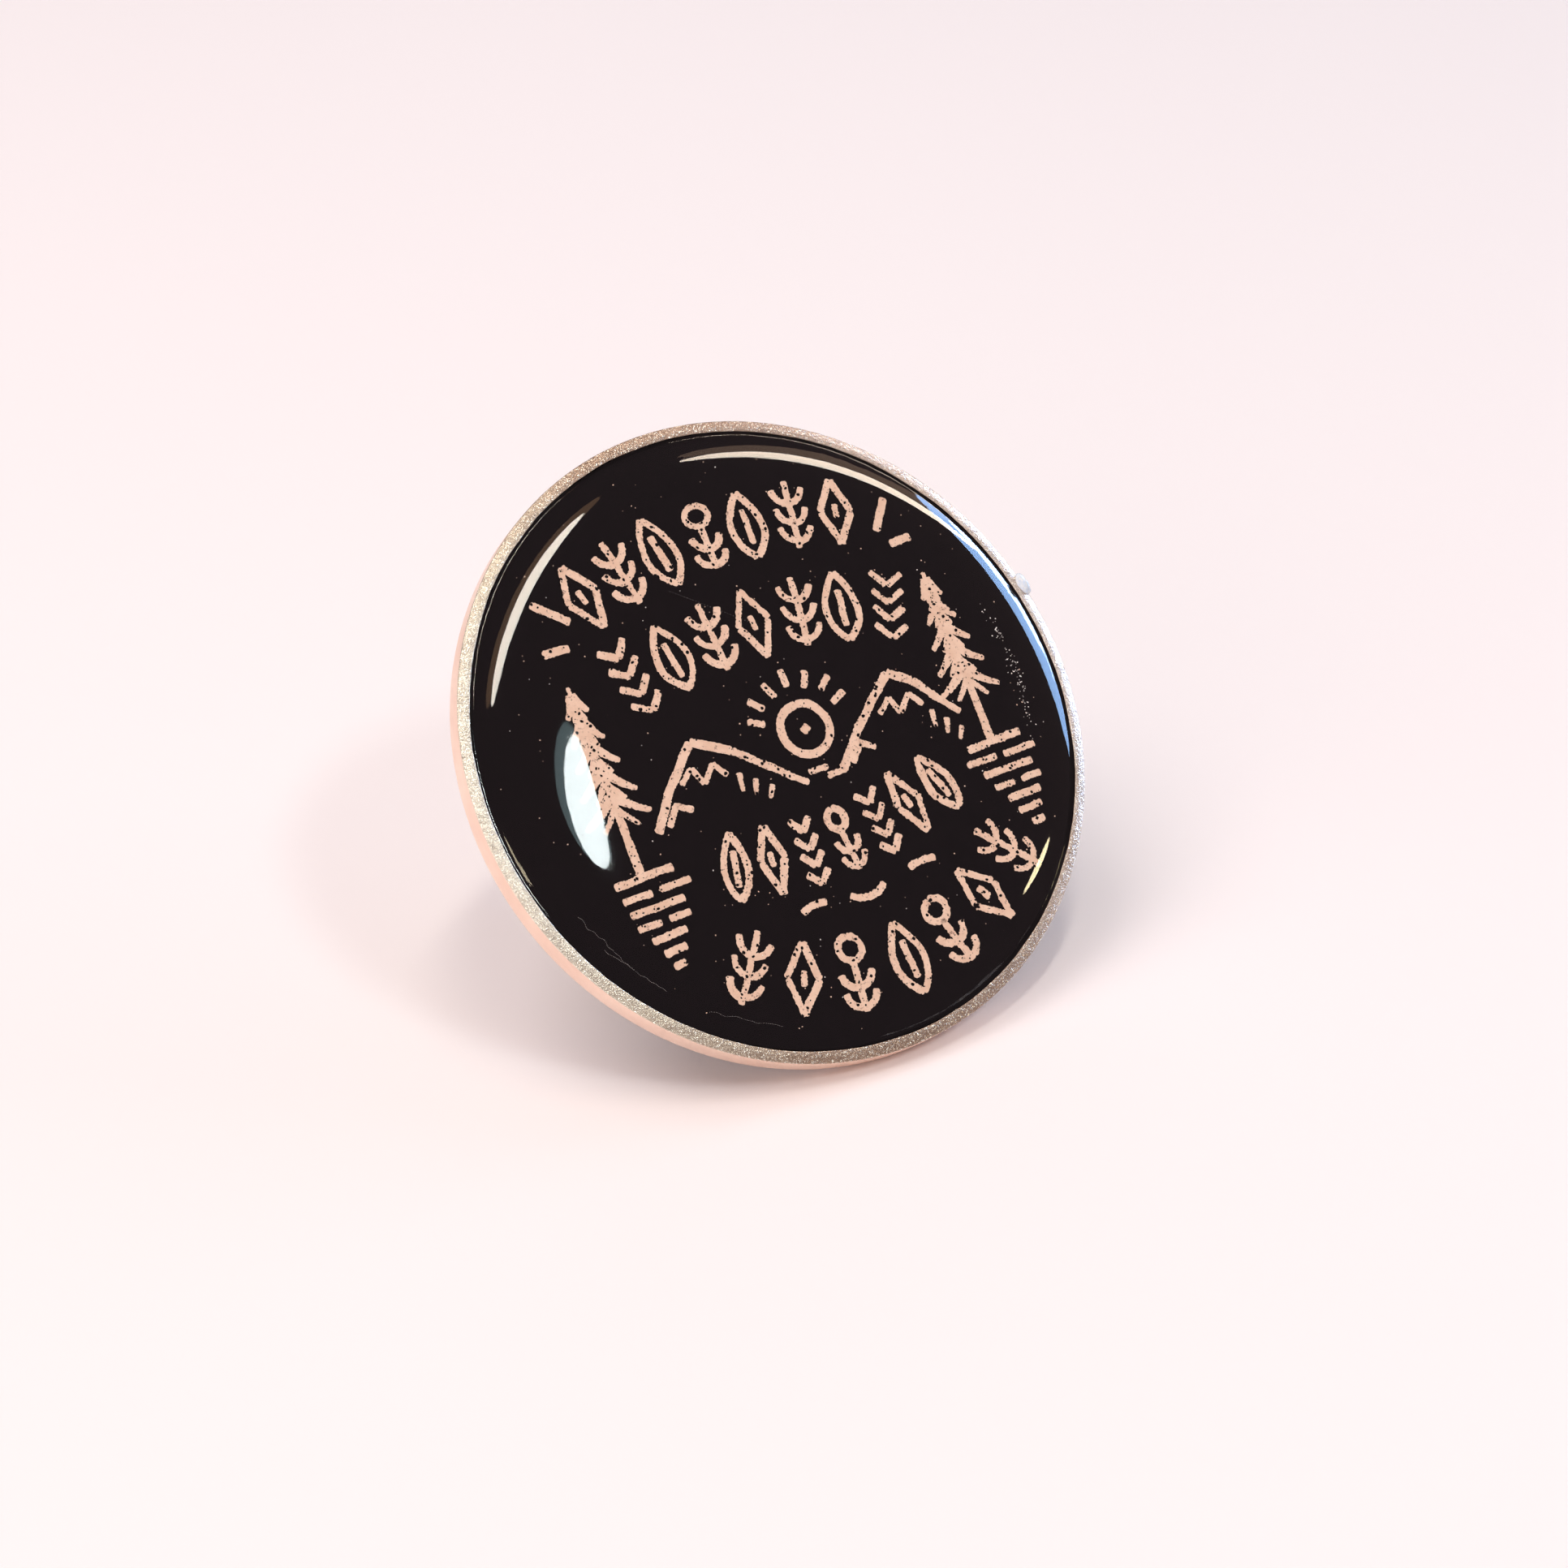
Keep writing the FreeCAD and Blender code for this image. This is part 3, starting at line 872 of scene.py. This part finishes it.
def dust_resin():
    """Fine dust on the resin, thickest near its right edge, and hair-thin scratches."""
    seeded = random.Random(17)
    verts, faces = [], []
    for i in range(150):
        if i < 100:
            along, r = seeded.gauss(-0.06, 0.14), DOME_R * seeded.gauss(0.83, 0.011)
        else:
            along, r = seeded.uniform(0, math.tau), 11.0 * math.sqrt(seeded.random())
        z = dome_height(r)
        size = seeded.choice((0.010, 0.014, 0.020, 0.028))
        x, y = r * math.cos(along), r * math.sin(along)
        blot(verts, faces, seeded, x, y, z - 0.01, z + 0.006, size)
    scratch(verts, faces, seeded, (-2.6, 6.15), (0.1, 4.1), 30, 0.0)
    scratch(verts, faces, seeded, (-10.43, -4.2), (-9.2, -6.6), 60, 0.10)
    scratch(verts, faces, seeded, (-9.9, -5.6), (-8.3, -7.7), 60, 0.12)
    scratch(verts, faces, seeded, (-7.0, -8.9), (-4.6, -10.3), 50, 0.08)
    new_piece("resin_dust", verts, faces, "badge", [DUST], smooth=False)


def scratch(verts, faces, seeded, start, end, count, waver):
    """A hairline of fine dust from start to end, that wavers by so many millimetres."""
    start, end = Vector(start), Vector(end)
    side = Vector((start.y - end.y, end.x - start.x)).normalized()
    seed = seeded.uniform(0, 50)
    for i in range(count):
        off_line = waver * noise.noise(Vector((i * 0.13, seed, 0)))
        at = start.lerp(end, i / (count - 1)) + side * off_line
        z = dome_height(at.length)
        blot(verts, faces, seeded, at.x, at.y, z - 0.004, z + 0.002, 0.0065)


draw_borders()
draw_sun()
draw_peaks()
draw_pines()
wear_print(ink_spots)
dust_resin()


# ---------------------------------------------------------------- floor, lights and camera

FLOOR_HALF = 1.5
LAMP_DISTANCE = 0.5
WORLD_COLOUR = (1.0, 0.76, 0.80, 1)
WORLD_STRENGTH = 0.20


def make_floor():
    mesh = bpy.data.meshes.new("floor")
    corners = [(x * FLOOR_HALF, y * FLOOR_HALF, 0) for x, y in ((-1, -1), (1, -1), (1, 1), (-1, 1))]
    mesh.from_pydata(corners, [], [(0, 1, 2, 3)])
    look = Look("pale_table")
    look.surface(Base_Color=rgb(252, 248, 251), Roughness=0.55, Specular_IOR_Level=0.25)
    mesh.materials.append(look.material)
    floor = bpy.data.objects.new("floor", mesh)
    bpy.context.scene.collection.objects.link(floor)


def make_lamp(name, start, end, thickness, radiance, colour, shape="ELLIPSE", only=None):
    """A lamp that spans the way between two directions, each (azimuth, elevation) in degrees.

    Azimuth 0 is in front of the badge and 90 to its right. Thickness is in degrees too, and
    a radiance of 1 is paper white. A lamp may be kept to "gloss", so that it shows only in
    reflections, or to "fill", so that it doesn't show in them.
    """
    start, end = direction(*start), direction(*end)
    way = (start + end).normalized()
    along = (end - start).normalized()
    data = bpy.data.lights.new(name, "AREA")
    data.shape = shape
    data.size = 2 * LAMP_DISTANCE * math.tan(start.angle(end) / 2)
    data.size_y = 2 * LAMP_DISTANCE * math.tan(math.radians(thickness / 2))
    area = data.size * data.size_y * (math.pi / 4 if shape == "ELLIPSE" else 1)
    data.energy = radiance * math.pi * area
    data.color = colour
    lamp = bpy.data.objects.new(name, data)
    bpy.context.scene.collection.objects.link(lamp)
    lamp.location = badge_origin + way * LAMP_DISTANCE
    lamp.rotation_euler = Matrix((along, way.cross(along), way)).transposed().to_euler()
    lamp.visible_diffuse = only != "gloss"
    lamp.visible_glossy = only != "fill"


def direction(azimuth, elevation):
    """The unit vector towards an azimuth and an elevation in degrees."""
    a, e = math.radians(azimuth), math.radians(elevation)
    return Vector((math.sin(a) * math.cos(e), -math.cos(a) * math.cos(e), math.sin(e)))


def make_world():
    world = bpy.data.worlds.new("studio")
    world.use_nodes = True
    back = world.node_tree.nodes["Background"]
    back.inputs["Color"].default_value = WORLD_COLOUR
    back.inputs["Strength"].default_value = WORLD_STRENGTH
    bpy.context.scene.world = world


CAMERA_AZIMUTH = -31.5
CAMERA_ELEVATION = 31.3
CAMERA_DISTANCE = 0.12
FRAME_WIDTH = 0.0581
# How far the middle of the badge's rim stands from the picture's middle, at the badge.
AIM_RIGHT = -0.00003
AIM_UP = 0.00189


def make_camera():
    data = bpy.data.cameras.new("camera")
    data.angle = 2 * math.atan(FRAME_WIDTH / 2 / CAMERA_DISTANCE)
    data.clip_start = 0.001
    camera = bpy.data.objects.new("camera", data)
    bpy.context.scene.collection.objects.link(camera)
    way = direction(CAMERA_AZIMUTH, CAMERA_ELEVATION)
    turn = way.to_track_quat("Z", "Y")
    middle = BADGE @ Vector((0, 0, TRAY_HEIGHT * MM))
    aim = middle - turn @ Vector((AIM_RIGHT, AIM_UP, 0))
    camera.location = aim + way * CAMERA_DISTANCE
    camera.rotation_euler = turn.to_euler()
    bpy.context.scene.camera = camera


make_floor()
make_world()
make_lamp("round_lamp", (6.1, 48.4), (24.5, 55.6), 6.2, 21, (0.93, 1.0, 1.0))
make_lamp("round_halo", (5.0, 49.0), (24.0, 56.6), 8.6, 2.2, (0.60, 0.86, 0.90))
make_lamp("tube_overhead", (-39, 67), (93, 78), 4.4, 18, (1.0, 0.92, 0.80))
make_lamp("overhead_glow", (-46, 66), (104, 75), 6, 1.2, (1.0, 0.58, 0.32), only="gloss")
make_lamp("tube_right", (104.5, 63), (98, 23), 4.4, 15, (1.0, 0.85, 0.70), only="gloss")
make_lamp("right_glow", (110, 62), (103, 24), 6.5, 1.1, (1.0, 0.66, 0.46), only="gloss")
make_lamp("window_right", (80.0, -3), (106.0, 28.0), 19, 11, (0.33, 0.56, 1.0), only="gloss")
make_lamp("window_middle", (85, 0), (103, 24), 9, 14, (0.72, 0.87, 1.0), only="gloss")
make_lamp("low_glint", (52, 12.5), (61.5, 11.5), 2.2, 22, (1.0, 0.84, 0.50))
make_lamp("behind_camera", (-52, 50), (-34, 37), 2.0, 9, (1.0, 0.84, 0.58))
make_lamp("high_left", (196, 54), (285, 54), 34, 2.85, (1.0, 0.90, 0.855), "RECTANGLE", "fill")
make_lamp("low_left", (250, 16), (318, 16), 26, 1.95, (1.0, 0.80, 0.66), "RECTANGLE")
make_lamp("cool_right", (60, 22), (120, 22), 30, 1.0, (0.56, 0.76, 1.0), "RECTANGLE", "fill")
make_lamp("cool_back", (128, 40), (178, 40), 45, 0.9, (0.90, 0.94, 1.0), "RECTANGLE", "fill")
make_camera()
bpy.context.scene.view_settings.view_transform = "Standard"
